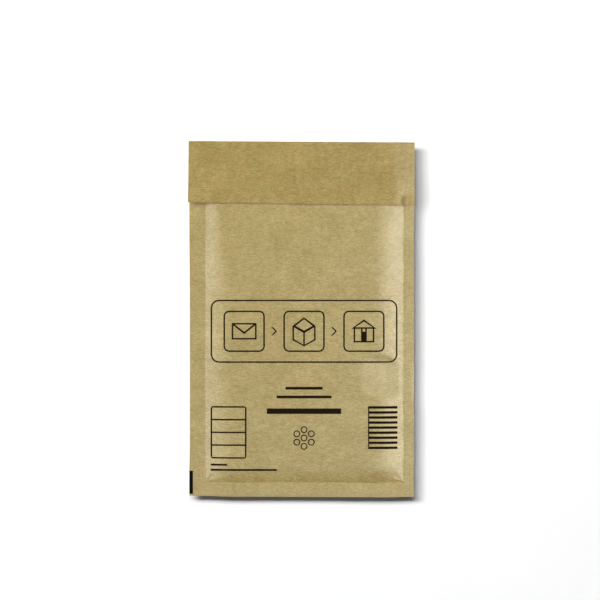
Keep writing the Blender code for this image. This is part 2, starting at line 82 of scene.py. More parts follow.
# Finer forms of the paper, with lengths in millimetres
LEFT_CREASE_INWARD = 0.4
BOTTOM_CREASE_OUTWARD = 0.9
LEFT_SHOULDER_TOP = 9.2  # the left shoulder is narrow near the mouth and wider from the middle on
LEFT_SHOULDER_GROWTH = 7.0
LEFT_ROUNDNESS = 1.6
GROOVE_DEPTH = 0.05
GROOVE_WIDTH = 0.45
DENT_EDGE = 37.0
DENT_MIDDLE = -36.0
DENT_HALF_LENGTH = 9.5
DENT_SLANT = 0.15
DENT_TOP = 5.1
DENT_SLOPE = 0.082
DENT_END_ROUNDING = 0.06
FLAP_EDGE_SLOPE = 0.0055  # the free edge runs down from FLAP_EDGE_BEND to the right
FLAP_EDGE_BEND = -62.0
FLAP_CORNER_LEFT = 60.5
FLAP_CORNER_TOP = 78.5
CORNER_OVER_MARGIN = 0.3

# Small folds in the two lower corners: where each starts and ends, its height and its width
CORNER_FOLDS = (
    ((-59.5, -100.2), (-54.0, -90.0), 0.22, 0.9),
    ((-60.0, -99.6), (-60.6, -91.0), 0.14, 0.6),
    ((-59.0, -100.6), (-46.0, -97.4), 0.26, 0.8),
    ((-60.0, -100.6), (-67.0, -103.0), 0.10, 0.7),
    ((-60.2, -100.0), (-66.5, -97.0), 0.08, 0.6),
    ((62.6, -100.4), (50.0, -97.4), 0.34, 0.9),
    ((62.8, -100.6), (57.0, -91.0), 0.22, 0.9),
    ((63.4, -99.5), (64.6, -90.0), 0.10, 0.6),
)

# Fineness of the sheet
CREASE_STEP = 0.3 * MM
CREASE_REACH = 1.8 * MM  # on both sides of a crease
MARGIN_STEP = 1.0 * MM
SHOULDER_STEP = 0.95 * MM
PANEL_STEP = 1.5 * MM
FLAP_STEP = 1.6 * MM
FOLD_STEPS = 12

# Ink
INK_LIFT = 0.045 * MM
INK = 0.02 * MM
INK_STEP = 1.2 * MM
INK_CUTS = 6  # how often a long edge may be halved
SAME_PLACE = 0.0001 * MM
ABOVE_PAPER = 20.0 * MM  # from here the paper is looked for

# Adhesive strip and its liner under the flap
RIBBON_STEP = 1.6  # in millimetres
RIBBON_FLAP_SHARE = 0.9  # how far down the flap they lie

# Bubble film, in millimetres
FILM_INSET = 2.2
FILM_TO_MOUTH = 2.4
FILM_GAP = 0.15
FILM_THICKNESS = 0.12
FILM_CORNER = 6.0
BUBBLE_PITCH = 11.2
BUBBLE_RADIUS = 4.7
BUBBLE_SIDES = 20
BUBBLE_CLEARANCE = 0.12
BUBBLE_PROFILE = (  # radius and height, as shares of the whole
    (1.0, 0.0),
    (0.98, 0.35),
    (0.90, 0.68),
    (0.72, 0.90),
    (0.42, 0.99),
)

# Camera
CAMERA_X = -1.1 * MM
CAMERA_Y = 11.8 * MM
CAMERA_HEIGHT = 1.0365

# Floor and light
FLOOR_SIZE = 30.0
UNDER_PAPER = 0.2 * MM
FLOOR_GLOW = 0.02
WORLD_LIGHT = 0.07
FLOOR_LAMP_HEIGHT = 3.0

# Lamps that light the floor alone, for the soft shadow at the right and the short one at the foot:
# place along X and Y as a share of their height, size along X and Y, and their share of the light
FLOOR_LAMPS = (
    (0.6, 1.5, 1.2, 1.25, 0.12),
    (-0.7, 1.5, 1.2, 1.25, 0.32),
    (-1.8, 1.5, 1.0, 1.25, 0.29),
    (-2.8, 1.5, 1.0, 1.25, 0.26),
)

# Lamps that light all but the floor: name, place, size along X and Y, and watts. The two panels
# give only the sheen at the long edges of the padding.
PAPER_LAMPS = (
    ("key", (-1.0, 0.7, 1.1), 0.6, 0.6, 16.8),
    ("fill", (1.0, 0.1, 1.0), 0.8, 0.8, 5.0),
    ("top", (0.0, -0.55, 1.5), 1.2, 1.2, 10.7),
    ("right_panel", (0.615, -0.02, 1.11), 1.02, 0.6, 18.5),
    ("left_panel", (-0.68, -0.2, 1.07), 0.93, 0.6, 8.8),
)
LEFT_SHEEN = (0.95, 1.0, 1.3)  # the sheen at the left is a little cool


def clamp(value, low=0.0, high=1.0):
    return min(max(value, low), high)


def smooth(value):
    """An even ramp from 0 to 1."""
    part = clamp(value)
    return part * part * (3.0 - 2.0 * part)


def wander(x, y, size, seed):
    """Smooth noise of about this size in millimetres, from -1 to 1."""
    return noise.noise(Vector((x / size, y / size, seed)))


# The form of the paper. Places in these functions are in millimetres, as are the heights they give.


def crease_shift(along, seed):
    """How far a crease strays from its straight line."""
    return 0.3 * wander(along, 0.0, 16.0, seed) + 0.12 * wander(along, 0.0, 4.0, seed + 5)


def shoulder(distance, width, roundness=2.0):
    """The rise of the padding from 0 at a crease to 1 at this width from it."""
    return 1.0 - (1.0 - clamp(distance / width)) ** roundness


def inside_creases(x, y):
    """How far a place lies inside the left, the right and the bottom crease."""
    left = x - LEFT_CREASE / MM - LEFT_CREASE_INWARD - crease_shift(y, 1.5)
    right = RIGHT_CREASE / MM - x - crease_shift(y, 7.5)
    bottom = y - BOTTOM_CREASE / MM + BOTTOM_CREASE_OUTWARD - crease_shift(x, 3.5)
    return left, right, bottom


def fullness(x, y):
    """How full the padding is: 0 at the creases and 1 in the middle."""
    left, right, bottom = inside_creases(x, y)
    left_width = LEFT_SHOULDER_TOP + LEFT_SHOULDER_GROWTH * smooth((66.0 - y) / 48.0)
    left_width += 1.5 * wander(0.0, y, 24.0, 11.5)
    right_width = SHOULDER / MM + 2.0 * wander(0.0, y, 30.0, 13.5)
    across = shoulder(left, left_width, LEFT_ROUNDNESS) * shoulder(right, right_width)
    return across * shoulder(bottom, BOTTOM_SHOULDER / MM)


def thinned(y, taper, pinch):
    """The share of the padding's height that is left near the mouth."""
    return 1.0 - pinch * clamp(1.0 - (MOUTH / MM - y) / (taper / MM)) ** 2


def in_margin(x, y):
    """1 in the glued margins, falling to 0 just inside the creases."""
    return smooth(0.5 - min(inside_creases(x, y)) / 1.5)


def press_line(x, y):
    """The narrow groove that the sealing tool leaves along the creases."""
    left, right, bottom = inside_creases(x, y)
    groove = -GROOVE_DEPTH * math.exp(-((min(left, right, bottom) / GROOVE_WIDTH) ** 2))
    if min(left, right) < 0.0:
        return groove
    # The padding hangs over a little along the foot, most at the right.
    lip = 0.09 + 0.08 * smooth((x + 10.0) / 50.0)
    return groove - lip * math.exp(-bottom / 1.2 if bottom > 0.0 else bottom / 2.5)


def dented(x, y, height):
    """The pillow with a flat dent, where the padding gives way at the right."""
    if x < DENT_EDGE:
        return height
    slanted = abs(y - DENT_MIDDLE + DENT_SLANT * (x - 50.0))
    beyond = max(0.0, slanted - DENT_HALF_LENGTH)
    facet = DENT_TOP - DENT_SLOPE * (x - DENT_EDGE) + DENT_END_ROUNDING * beyond ** 2
    return min(height, facet)


def margin_offset(x, y):
    """How the glued margins stray from their level."""
    left_reach = 9.0
    left = clamp((LEFT_CREASE / MM - x) / left_reach)
    right = clamp((x - RIGHT_CREASE / MM) / (RIGHT_MARGIN / MM))
    bottom = clamp((BOTTOM_CREASE / MM - y) / (BOTTOM_MARGIN / MM))
    height = 0.12 * wander(x * 0.5, y, 21.0, 21.5)
    height += 0.03 * left - 0.12 * right - 0.12 * bottom
    # Fine crinkles across the right margin, strongest near its foot
    near_foot = smooth((-60.0 - y) / 30.0)
    crinkle = wander(x * 0.25, y, 1.7, 23.5)
    height += right ** 0.3 * 0.045 * crinkle * (0.25 + near_foot)
    height += 0.02 * wander(x * 0.4, y, 2.6, 24.5) * clamp(3 * left)
    height += 0.02 * wander(x, y * 0.4, 2.8, 25.5) * clamp(3 * bottom)
    return height * in_margin(x, y)


def fold(x, y, start, end, height, width):
    """A small straight ridge between two places, sharpest at its start."""
    along_x, along_y = end[0] - start[0], end[1] - start[1]
    length = math.hypot(along_x, along_y)
    dx, dy = x - start[0], y - start[1]
    along = (dx * along_x + dy * along_y) / length ** 2
    if along < -0.1 or along > 1.0:
        return 0.0
    off = (dx * along_y - dy * along_x) / length
    spread = width * (0.45 + max(along, 0.0))
    fade = smooth((along + 0.1) / 0.2) * (1.0 - max(along, 0.0)) ** 0.8
    return height * fade * math.exp(-((off / spread) ** 2))


def corner_folds(x, y):
    """The folds where the padding runs out in the two lower corners."""
    return sum(fold(x, y, *each) for each in CORNER_FOLDS)


def panel_offset(x, y):
    """How the front panel strays from its even pillow."""
    inside = 1.0 - in_margin(x, y)
    height = 0.12 * wander(x, y, 34.0, 31.5)
    height += 0.05 * wander(x, y * 0.8, 13.0, 33.5)
    height += 0.012 * wander(x, y, 4.5, 35.5)
    return height * inside


def front_height(x, y):
    flat = (MARGIN_MIDDLE + MARGIN_THICKNESS / 2) / MM
    rise = FRONT_HEIGHT / MM - flat
    height = flat + rise * fullness(x, y) * thinned(y, FRONT_TAPER, FRONT_PINCH)
    height = dented(x, y, height) + press_line(x, y)
    return height + margin_offset(x, y) + panel_offset(x, y) + corner_folds(x, y)


def back_height(x, y):
    flat = (MARGIN_MIDDLE - MARGIN_THICKNESS / 2) / MM
    height = flat - flat * fullness(x, y) * thinned(y, BACK_TAPER, BACK_PINCH)
    lift = 0.06 * (wander(x, y, 22.0, 41.5) + 0.6) * smooth((flat - height) / flat * 4.0)
    return max(height + margin_offset(x, y) + lift, 0.0)


def flap_edge_y(x):
    """The free edge of the flap, cut a little wavy."""
    straight = FLAP_EDGE / MM - FLAP_SKEW * x / WIDTH
    straight -= FLAP_EDGE_SLOPE * max(x - FLAP_EDGE_BEND, 0.0)
    return straight + 0.06 * wander(x, 0.0, 17.0, 51.5)


def flap_underside(x, y):
    edge_y = flap_edge_y(x)
    along = clamp((MOUTH / MM - y) / (MOUTH / MM - edge_y))
    height = FLAP_ROOT_HEIGHT / MM + (FLAP_EDGE_HEIGHT - FLAP_ROOT_HEIGHT) / MM * along
    loose = smooth(along * 1.6)
    height += 0.10 * wander(x, y * 0.5, 26.0, 53.5) * loose
    height += 0.02 * wander(x, y, 8.0, 55.5) * loose
    height -= 0.06 * smooth((-58.0 - x) / 12.0) * loose
    # The right end hangs down, and its loose corner lies close over the margin.
    reach = FLAP_DROOP_REACH / MM
    hanging = clamp((x - WIDTH / MM / 2 + reach) / reach) ** 1.5
    height -= FLAP_DROOP / MM * hanging * (3.0 + along) / 4
    panel = front_height(x, y)
    height = max(height, panel + FLAP_OVER_PANEL / MM)
    corner = smooth((x - FLAP_CORNER_LEFT) / 5.5) * smooth((FLAP_CORNER_TOP - y) / 5.0)
    return height + (panel + CORNER_OVER_MARGIN - height) * corner


def warped(x, y, flap_share=0.0):
    """Where a place of the straight envelope lies on this one, whose edges are a little uneven.

    flap_share is 0 on the body and grows to 1 at the free edge of the flap.
    """
    left = clamp((LEFT_CREASE / MM - x) / (LEFT_MARGIN / MM))
    right = clamp((x - RIGHT_CREASE / MM) / (RIGHT_MARGIN / MM))
    low = clamp((BOTTOM_CREASE / MM - y) / (BOTTOM_MARGIN / MM))
    shift_x = -left * 0.42 * flap_share ** 2
    if flap_share == 0.0:
        shift_x = -left * (0.33 * smooth((y - 5.0) / 60.0) + 0.37 * smooth((-75.0 - y) / 25.0))
        shift_x += right * (0.26 * smooth((y - 52.0) / 16.0) - 0.12 - 0.1 * smooth((-60.0 - y) / 40.0))
    shift_y = smooth((y - 73.0) / 37.0) * (0.12 - 0.85 * (x + 67.0) / 134.0)
    uneven = 0.65 * smooth((-42.0 - x) / 22.0) + 0.35 * smooth((x - 54.0) / 10.0) + 0.04
    shift_y += low * (uneven - 0.4 * clamp((x + 20.0) / 70.0))
    return x + shift_x, y + shift_y


# The mesh of the paper


def stations(*stretches):
    """Places along a line, from (start, end, step) stretches that follow each other."""
    places = [stretches[0][0]]
    for start, end, step in stretches:
        count = max(1, round(abs(end - start) / step))
        places += [start + (end - start) * part / count for part in range(1, count + 1)]
    return places


def beside_crease(crease, way, end, step):
    """Stretches of stations from a crease to end, fine at first."""
    near = crease + way * CREASE_REACH
    return (crease, near, CREASE_STEP), (near, end, step)


def mirrored(stretches):
    return [(end, start, step) for start, end, step in reversed(stretches)]


def column_lines():
    left, right = LEFT_CREASE + SHOULDER, RIGHT_CREASE - SHOULDER
    return stations(
        *mirrored(beside_crease(LEFT_CREASE, -1, BODY_LEFT, MARGIN_STEP)),
        *beside_crease(LEFT_CREASE, 1, left, SHOULDER_STEP),
        (left, right, PANEL_STEP),
        *mirrored(beside_crease(RIGHT_CREASE, -1, right, SHOULDER_STEP)),
        *beside_crease(RIGHT_CREASE, 1, BODY_RIGHT, MARGIN_STEP),
    )


def row_lines():
    low = BOTTOM_CREASE + BOTTOM_SHOULDER
    return stations(
        *mirrored(beside_crease(BOTTOM_CREASE, -1, BODY_BOTTOM, MARGIN_STEP)),
        *beside_crease(BOTTOM_CREASE, 1, low, SHOULDER_STEP),
        (low, MOUTH, PANEL_STEP),
    )


def nearest(lines, place):
    """The number of the line that lies at this place."""
    return min(range(len(lines)), key=lambda number: abs(lines[number] - place))


class Paper:
    """The four faces of the folded sheet on one fine grid, as one closed shell."""

    def __init__(self):
        self.mesh = bmesh.new()
        self.columns = column_lines()
        self.rows = row_lines()
        self.mouth = len(self.rows) - 1
        self.flap_rows = round((MOUTH - FLAP_EDGE) / FLAP_STEP)
        self.last = self.mouth + FOLD_STEPS + self.flap_rows
        self.first_pocket = nearest(self.columns, LEFT_CREASE)
        self.last_pocket = nearest(self.columns, RIGHT_CREASE)
        self.first_row = nearest(self.rows, BOTTOM_CREASE)
        self.points = {}
        self.front = []

    def in_pocket(self, column, row):
        across = self.first_pocket < column < self.last_pocket
        return across and row > self.first_row

    def flap_x(self, x, share):
        middle = (BODY_LEFT + BODY_RIGHT) / 2
        full = (x - middle) * WIDTH / (BODY_RIGHT - BODY_LEFT)
        return x + (full - x) * share

    def fold_point(self, x, step, depth):
        angle = math.pi * step / FOLD_STEPS
        low = back_height(x / MM, MOUTH / MM) * MM
        high = flap_underside(x / MM, MOUTH / MM) * MM + PAPER
        y = MOUTH + (FOLD_REACH - depth) * math.sin(angle)
        z = (low + high) / 2 - ((high - low) / 2 - depth) * math.cos(angle)
        return self.flap_x(x, step / FOLD_STEPS), y, z

    def flap_point(self, x, step, depth):
        wide = self.flap_x(x, 1.0)
        edge_y = flap_edge_y(wide / MM) * MM
        y = MOUTH + (edge_y - MOUTH) * step / self.flap_rows
        return wide, y, flap_underside(wide / MM, y / MM) * MM + PAPER - depth

    def place(self, face, column, row):
        x = self.columns[column]
        depth = 0.0 if face == "back_out" else PAPER
        if row > self.mouth + FOLD_STEPS:
            return self.flap_point(x, row - self.mouth - FOLD_STEPS, depth)
        if row > self.mouth:
            return self.fold_point(x, row - self.mouth, depth)
        y = self.rows[row]
        front = face.startswith("front")
        height = front_height(x / MM, y / MM) if front else back_height(x / MM, y / MM)
        if face in ("front_out", "back_out"):
            return x, y, height * MM
        if face == "glue":
            return x, y, MARGIN_MIDDLE + margin_offset(x / MM, y / MM) * MM
        return x, y, height * MM + (-PAPER if front else PAPER)

    def vertex(self, face, column, row):
        joined = face.endswith("_in") and row <= self.mouth
        if joined and not self.in_pocket(column, row):
            face = "glue"
        key = (face, column, row)
        if key not in self.points:
            x, y, z = self.place(face, column, row)
            flap_share = clamp((row - self.mouth) / (self.last - self.mouth))
            x, y = warped(x / MM, y / MM, flap_share)
            self.points[key] = self.mesh.verts.new((x * MM, y * MM, z))
        return self.points[key]

    def patch(self, *corners):
        return self.mesh.faces.new([self.vertex(*corner) for corner in corners])

    def cells(self, face, columns, rows):
        made = []
        for column in columns:
            for row in rows:
                patch = self.patch(
                    (face, column, row),
                    (face, column + 1, row),
                    (face, column + 1, row + 1),
                    (face, column, row + 1),
                )
                made.append(patch)
        return made

    def side(self, column):
        for row in range(self.mouth):
            corners = [
                ("front_out", column, row),
                ("front_out", column, row + 1),
                ("back_out", column, row + 1),
                ("back_out", column, row),
            ]
            if row + 1 == self.mouth:
                corners.insert(2, ("back_in", column, self.mouth))
            self.patch(*corners)
        for row in range(self.mouth, self.last):
            self.patch(
                ("back_in", column, row),
                ("back_in", column, row + 1),
                ("back_out", column, row + 1),
                ("back_out", column, row),
            )

    def edge(self, upper, lower, row):
        for column in range(len(self.columns) - 1):
            self.patch(
                (upper, column, row),
                (upper, column + 1, row),
                (lower, column + 1, row),
                (lower, column, row),
            )

    def build(self):
        every = range(len(self.columns) - 1)
        pocket = range(self.first_pocket, self.last_pocket)
        front = self.cells("front_out", every, range(self.mouth))
        self.front = bmesh.ops.triangulate(self.mesh, faces=front)["faces"]
        back = self.cells("back_out", every, range(self.last))
        self.cells("front_in", pocket, range(self.first_row, self.mouth))
        back += self.cells("back_in", pocket, range(self.first_row, self.mouth))
        back += self.cells("back_in", every, range(self.mouth, self.last))
        self.side(0)
        self.side(len(self.columns) - 1)
        self.edge("front_out", "back_out", 0)
        self.edge("front_out", "front_in", self.mouth)
        self.edge("back_in", "back_out", self.last)
        for face in back:
            face.material_index = 1

    def front_tree(self):
        """The front panel alone, to lay the ink on."""
        corners = [vertex.co.copy() for vertex in self.mesh.verts]
        for number, vertex in enumerate(self.mesh.verts):
            vertex.index = number
        loops = [[vertex.index for vertex in face.verts] for face in self.front]
        return BVHTree.FromPolygons(corners, loops)


# Materials


class Look:
    """A node material that is put together step by step."""

    def __init__(self, name):
        self.material = bpy.data.materials.new(name)
        self.material.use_nodes = True
        self.tree = self.material.node_tree
        self.shader = self.tree.nodes["Principled BSDF"]
        self.place = self.tree.nodes.new("ShaderNodeTexCoord").outputs["Object"]

    def feed(self, socket, value):
        if isinstance(value, bpy.types.NodeSocket):
            self.tree.links.new(value, socket)
        else:
            socket.default_value = value

    def noise(self, across, along, detail=2.0, rough=0.5, warp=0.0):
        """Noise whose features are about this size in millimetres along X and along Y."""
        mapping = self.tree.nodes.new("ShaderNodeMapping")
        mapping.inputs["Scale"].default_value = (1 / (across * MM), 1 / (along * MM), 1 / (along * MM))
        self.tree.links.new(self.place, mapping.inputs["Vector"])
        made = self.tree.nodes.new("ShaderNodeTexNoise")
        made.inputs["Scale"].default_value = 1.0
        made.inputs["Detail"].default_value = detail
        made.inputs["Roughness"].default_value = rough
        made.inputs["Distortion"].default_value = warp
        self.tree.links.new(mapping.outputs["Vector"], made.inputs["Vector"])
        return made.outputs["Fac"]

    def math(self, operation, a, b=0.0, c=0.0):
        node = self.tree.nodes.new("ShaderNodeMath")
        node.operation = operation
        for socket, value in zip(node.inputs, (a, b, c)):
            self.feed(socket, value)
        return node.outputs[0]

    def spread(self, value, low, high, to_low=0.0, to_high=1.0):
        """Maps low to high onto to_low to to_high, and keeps to that."""
        node = self.tree.nodes.new("ShaderNodeMapRange")
        self.feed(node.inputs["Value"], value)
        node.inputs["From Min"].default_value = low
        node.inputs["From Max"].default_value = high
        node.inputs["To Min"].default_value = to_low
        node.inputs["To Max"].default_value = to_high
        return node.outputs["Result"]

    def ramp(self, value, *stops):
        node = self.tree.nodes.new("ShaderNodeValToRGB")
        elements = node.color_ramp.elements
        while len(elements) < len(stops):
            elements.new(0.5)
        for element, (position, colour) in zip(elements, stops):
            element.position = position
            element.color = colour
        self.feed(node.inputs["Fac"], value)
        return node.outputs["Color"]

    def mix(self, share, a, b):
        node = self.tree.nodes.new("ShaderNodeMix")
        node.data_type = "RGBA"
        self.feed(node.inputs[0], share)
        self.feed(node.inputs[6], a)
        self.feed(node.inputs[7], b)
        return node.outputs[2]

    def blend(self, *parts):
        """The sum of some values, each times its share."""
        total = 0.0
        for value, share in parts:
            total = self.math("MULTIPLY_ADD", value, share, total)
        return total

    def bump(self, height, distance):
        node = self.tree.nodes.new("ShaderNodeBump")
        node.inputs["Strength"].default_value = 1.0
        node.inputs["Distance"].default_value = distance
        self.feed(node.inputs["Height"], height)
        self.tree.links.new(node.outputs["Normal"], self.shader.inputs["Normal"])

    def set(self, **values):
        for name, value in values.items():
            self.feed(self.shader.inputs[name.replace("_", " ")], value)
        return self.material


def kraft_paper(name, tone, sheen):
    """Kraft paper, its colours times tone, with this much sheen."""
    look = Look(name)
    fibres = look.noise(2.7, 0.6, detail=3.0, rough=0.7, warp=0.3)
    wisps = look.noise(1.1, 0.5, rough=0.7)
    patches = look.noise(3.4, 2.4)
    clouds = look.noise(13.0, 10.0)
    tints = look.noise(8.0, 6.0)
    flecks = look.noise(1.3, 0.55, detail=1.0, warp=0.4)
    mottle = look.blend((wisps, 0.34), (fibres, 0.38), (patches, 0.12), (clouds, 0.16))
    dark, middle, light = 0.365, 0.5, 0.635

    def toned(red, green, blue):
        return red * tone[0], green * tone[1], blue * tone[2], 1.0

    def shades(*colours):
        return look.ramp(mottle, *zip((dark, middle, light), colours))

    # The paper is a little more olive in some places, and a little more tan in others.
    olive = shades(
        toned(0.239, 0.172, 0.030),
        toned(0.376, 0.293, 0.086),
        toned(0.503, 0.415, 0.164),
    )
    tan = shades(
        toned(0.251, 0.168, 0.032),
        toned(0.394, 0.287, 0.086),
        toned(0.527, 0.406, 0.162),
    )
    colour = look.mix(look.spread(tints, 0.3, 0.7), olive, tan)
    speck = look.spread(flecks, 0.62, 0.73, 0.0, 0.6)
    colour = look.mix(speck, colour, toned(0.17, 0.115, 0.035))
    gloss = look.spread(mottle, 0.3, 0.7, 0.38, 0.30)
    look.bump(look.blend((fibres, 0.4), (wisps, 0.6)), 0.03 * MM)
    return look.set(Base_Color=colour, Roughness=gloss, Specular_IOR_Level=sheen)


def ink(name, dark, light):
    """Thin print that lets the fibres of the paper show through a little."""
    look = Look(name)
    grain = look.noise(0.9, 0.4, rough=0.6)
    clouds = look.noise(7.0, 5.0)
    wear = look.blend((clouds, 0.3), (grain, 0.7))
    colour = look.ramp(wear, (0.35, dark), (0.6, dark), (0.78, light))
    look.bump(grain, 0.01 * MM)
    gloss = look.spread(grain, 0.3, 0.7, 0.5, 0.62)
    return look.set(Base_Color=colour, Roughness=gloss, Specular_IOR_Level=0.02)


def bubble_film():
    look = Look("bubble_film")
    haze = look.noise(9.0, 9.0)
    pull = look.noise(1.2, 6.0)
    colour = look.ramp(haze, (0.35, (0.80, 0.83, 0.84, 1.0)), (0.65, (0.88, 0.90, 0.91, 1.0)))
    look.bump(pull, 0.04 * MM)
    gloss = look.spread(haze, 0.3, 0.7, 0.12, 0.22)
    return look.set(Base_Color=colour, Roughness=gloss, IOR=1.5, Transmission_Weight=0.7)


def adhesive():
    look = Look("adhesive")
    ripple = look.noise(5.0, 1.5)
    colour = look.ramp(ripple, (0.35, (0.78, 0.73, 0.58, 1.0)), (0.65, (0.86, 0.83, 0.72, 1.0)))
    look.bump(ripple, 0.04 * MM)
    return look.set(Base_Color=colour, Roughness=look.spread(ripple, 0.3, 0.7, 0.2, 0.34))


def release_paper():
    look = Look("release_paper")
    cloud = look.noise(6.0, 4.0, detail=3.0, rough=0.6)
    fine = look.noise(0.8, 0.8)
    colour = look.ramp(cloud, (0.35, (0.78, 0.76, 0.69, 1.0)), (0.65, (0.85, 0.83, 0.77, 1.0)))
    look.bump(fine, 0.01 * MM)
    return look.set(Base_Color=colour, Roughness=look.spread(fine, 0.3, 0.7, 0.26, 0.36))


# Pieces


def add_piece(name, mesh, look, node):
    """A piece from a bmesh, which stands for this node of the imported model."""
    data = bpy.data.meshes.new(name)
    mesh.to_mesh(data)
    mesh.free()
    data.materials.append(look)
    piece = bpy.data.objects.new(name, data)
    bpy.context.scene.collection.objects.link(piece)
    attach(piece, "root")
    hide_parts(node)
    return piece


def lay_ink(node, tree, look):
    """The outline of a node of ink, laid on the crumpled paper as a thin layer."""
    mesh = bmesh.new()
    mesh.from_mesh(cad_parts[node].data)
    bmesh.ops.remove_doubles(mesh, verts=mesh.verts, dist=SAME_PLACE)
    lower = [face for face in mesh.faces if face.normal.z < 0.5]
    bmesh.ops.delete(mesh, geom=lower, context="FACES")
    bmesh.ops.triangulate(mesh, faces=mesh.faces)
    for cut in range(INK_CUTS):
        long = [edge for edge in mesh.edges if edge.calc_length() > INK_STEP]
        if not long:
            break
        bmesh.ops.subdivide_edges(mesh, edges=long, cuts=1, use_grid_fill=True)
        bmesh.ops.triangulate(mesh, faces=mesh.faces)
    for vertex in mesh.verts:
        x, y = warped(vertex.co.x / MM, vertex.co.y / MM)
        vertex.co.x, vertex.co.y = x * MM, y * MM
        above = Vector((vertex.co.x, vertex.co.y, ABOVE_PAPER))
        hit = tree.ray_cast(above, Vector((0, 0, -1)))[0]
        vertex.co.z = hit.z + INK_LIFT
    grown = bmesh.ops.extrude_face_region(mesh, geom=mesh.faces[:], use_keep_orig=True)
    for part in grown["geom"]:
        if isinstance(part, bmesh.types.BMVert):
            part.co.z += INK
    bmesh.ops.recalc_face_normals(mesh, faces=mesh.faces)
    add_piece(node + "_print", mesh, look, node)


def ribbon(name, node, look, to_side, width, to_edge, below, thickness):
    """A strip under the flap, along its free edge, with its sizes in millimetres."""
    mesh = bmesh.new()
    half = WIDTH / MM / 2 - to_side
    columns = stations((-half, half, RIBBON_STEP))
    rows = stations((0.0, width, RIBBON_STEP))
    sheets = []
    for depth in (below, below + thickness):
        sheet = []
        for x in columns:
            line = []
            for across in rows:
                y = flap_edge_y(x) + to_edge + across
                z = flap_underside(x, y) - depth
                wide, along = warped(x, y, RIBBON_FLAP_SHARE)
                line.append(mesh.verts.new((wide * MM, along * MM, z * MM)))
            sheet.append(line)
        sheets.append(sheet)
    for sheet in sheets:
        for a, b in zip(sheet, sheet[1:]):
            for row in range(len(rows) - 1):
                mesh.faces.new((a[row], b[row], b[row + 1], a[row + 1]))
    upper, lower = sheets
    for end in (0, -1):
        near, far = upper[end], lower[end]
        for row in range(len(rows) - 1):
            mesh.faces.new((near[row], near[row + 1], far[row + 1], far[row]))
        for column in range(len(columns) - 1):
            left, right = upper[column][end], upper[column + 1][end]
            mesh.faces.new((left, right, lower[column + 1][end], lower[column][end]))
    bmesh.ops.recalc_face_normals(mesh, faces=mesh.faces)
    strip = add_piece(name, mesh, look, node)
    strip.data.shade_smooth()
    strip.data.set_sharp_from_angle(angle=math.radians(40))


def bubble_centres(left, right, low, high):
    """Rows of bubbles in millimetres, each shifted by half a pitch, clear of the cut corners."""
    row_pitch = BUBBLE_PITCH * math.sqrt(3) / 2
    rows = int((high - low - 2 * BUBBLE_RADIUS) / row_pitch) + 1
    first = (low + high - (rows - 1) * row_pitch) / 2
    most = int((right - left - 2 * BUBBLE_RADIUS) / BUBBLE_PITCH) + 1
    for row in range(rows):
        count = most - row % 2
        start = (left + right - (count - 1) * BUBBLE_PITCH) / 2
        for column in range(count):
            x, y = start + column * BUBBLE_PITCH, first + row * row_pitch
            from_corner = min(x - left, right - x) + min(y - low, high - y)
            if from_corner > FILM_CORNER + BUBBLE_RADIUS * math.sqrt(2):
                yield x, y


def add_film(name, node, side, inner_face, look):
    """A web of bubble film: 1 for the front, -1 for the back. Its bubbles reach the paper."""
    left, right = LEFT_CREASE / MM + FILM_INSET, RIGHT_CREASE / MM - FILM_INSET
    low, high = BOTTOM_CREASE / MM + FILM_INSET, MOUTH / MM - FILM_TO_MOUTH
    near = MARGIN_MIDDLE / MM + side * FILM_GAP
    far = near + side * FILM_THICKNESS
    mesh = bmesh.new()
    cut = FILM_CORNER
    corners = (
        (left + cut, low), (right - cut, low), (right, low + cut), (right, high - cut),
        (right - cut, high), (left + cut, high), (left, high - cut), (left, low + cut),
    )
    rings = [[mesh.verts.new((x * MM, y * MM, z * MM)) for x, y in corners] for z in (near, far)]
    mesh.faces.new(rings[0])
    mesh.faces.new(rings[1])
    for a in range(len(corners)):
        b = (a + 1) % len(corners)
        mesh.faces.new((rings[0][a], rings[0][b], rings[1][b], rings[1][a]))
    for centre_x, centre_y in bubble_centres(left, right, low, high):
        base = mesh.verts.new((centre_x * MM, centre_y * MM, far * MM))
        crown_z = inner_face(centre_x, centre_y) - side * BUBBLE_CLEARANCE
        crown = mesh.verts.new((centre_x * MM, centre_y * MM, crown_z * MM))
        rings = []
        for radius, share in BUBBLE_PROFILE:
            ring = []
            for corner in range(BUBBLE_SIDES):
                angle = 2 * math.pi * corner / BUBBLE_SIDES
                x = centre_x + radius * BUBBLE_RADIUS * math.cos(angle)
                y = centre_y + radius * BUBBLE_RADIUS * math.sin(angle)
                reach = inner_face(x, y) - side * BUBBLE_CLEARANCE - far
                ring.append(mesh.verts.new((x * MM, y * MM, (far + reach * share) * MM)))
            rings.append(ring)
        for a in range(BUBBLE_SIDES):
            b = (a + 1) % BUBBLE_SIDES
            mesh.faces.new((base, rings[0][a], rings[0][b]))
            mesh.faces.new((crown, rings[-1][a], rings[-1][b]))
            for ring, following in zip(rings, rings[1:]):
                mesh.faces.new((ring[a], ring[b], following[b], following[a]))
    bmesh.ops.recalc_face_normals(mesh, faces=mesh.faces)
    film = add_piece(name, mesh, look, node)
    film.data.shade_smooth()
    film.data.set_sharp_from_angle(angle=math.radians(50))


def front_inside(x, y):
    return front_height(x, y) - PAPER / MM


def back_inside(x, y):
    return back_height(x, y) + PAPER / MM


# Floor, light and camera


def seen_directly(look_tree):
    """1 for rays from the camera, reflections and clear film, and 0 for the light that they cast."""
    path = look_tree.nodes.new("ShaderNodeLightPath")
    total = path.outputs["Is Camera Ray"]
    for kind in ("Is Glossy Ray", "Is Transmission Ray"):
        either = look_tree.nodes.new("ShaderNodeMath")
        either.operation = "MAXIMUM"
        look_tree.links.new(total, either.inputs[0])
        look_tree.links.new(path.outputs[kind], either.inputs[1])
        total = either.outputs[0]
    return total


